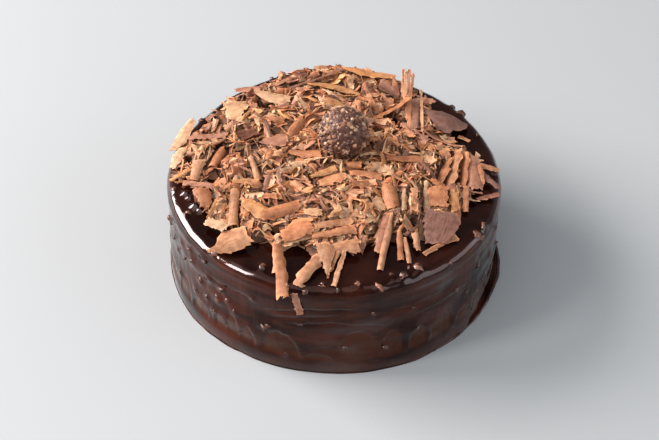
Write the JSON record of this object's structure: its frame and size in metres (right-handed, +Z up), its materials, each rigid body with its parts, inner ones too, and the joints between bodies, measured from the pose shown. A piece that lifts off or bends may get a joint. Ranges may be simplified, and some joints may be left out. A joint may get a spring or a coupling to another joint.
{
  "type": "hazelnut cake",
  "caption": "Round whole cake under a poured dark chocolate glaze with nut bits, topped with a heap of milk chocolate shavings and a chopped nut praline ball.",
  "frame": {"origin": "centre of the cake's flat base, where it rests", "axes": "+Z up, out of the cake's top; -Y is the front, and +X is to its right"},
  "size_m": [0.2026, 0.2076, 0.1046],
  "materials": {
    "glaze": "wet-looking dark chocolate glaze",
    "shaved_chocolate": "dull milk chocolate shavings",
    "nut_praline": "chopped nuts in chocolate"
  },
  "bodies": {
    "root": {"cake": "glaze", "shavings": "shaved_chocolate", "praline": "nut_praline"}
  },
  "joints": []
}
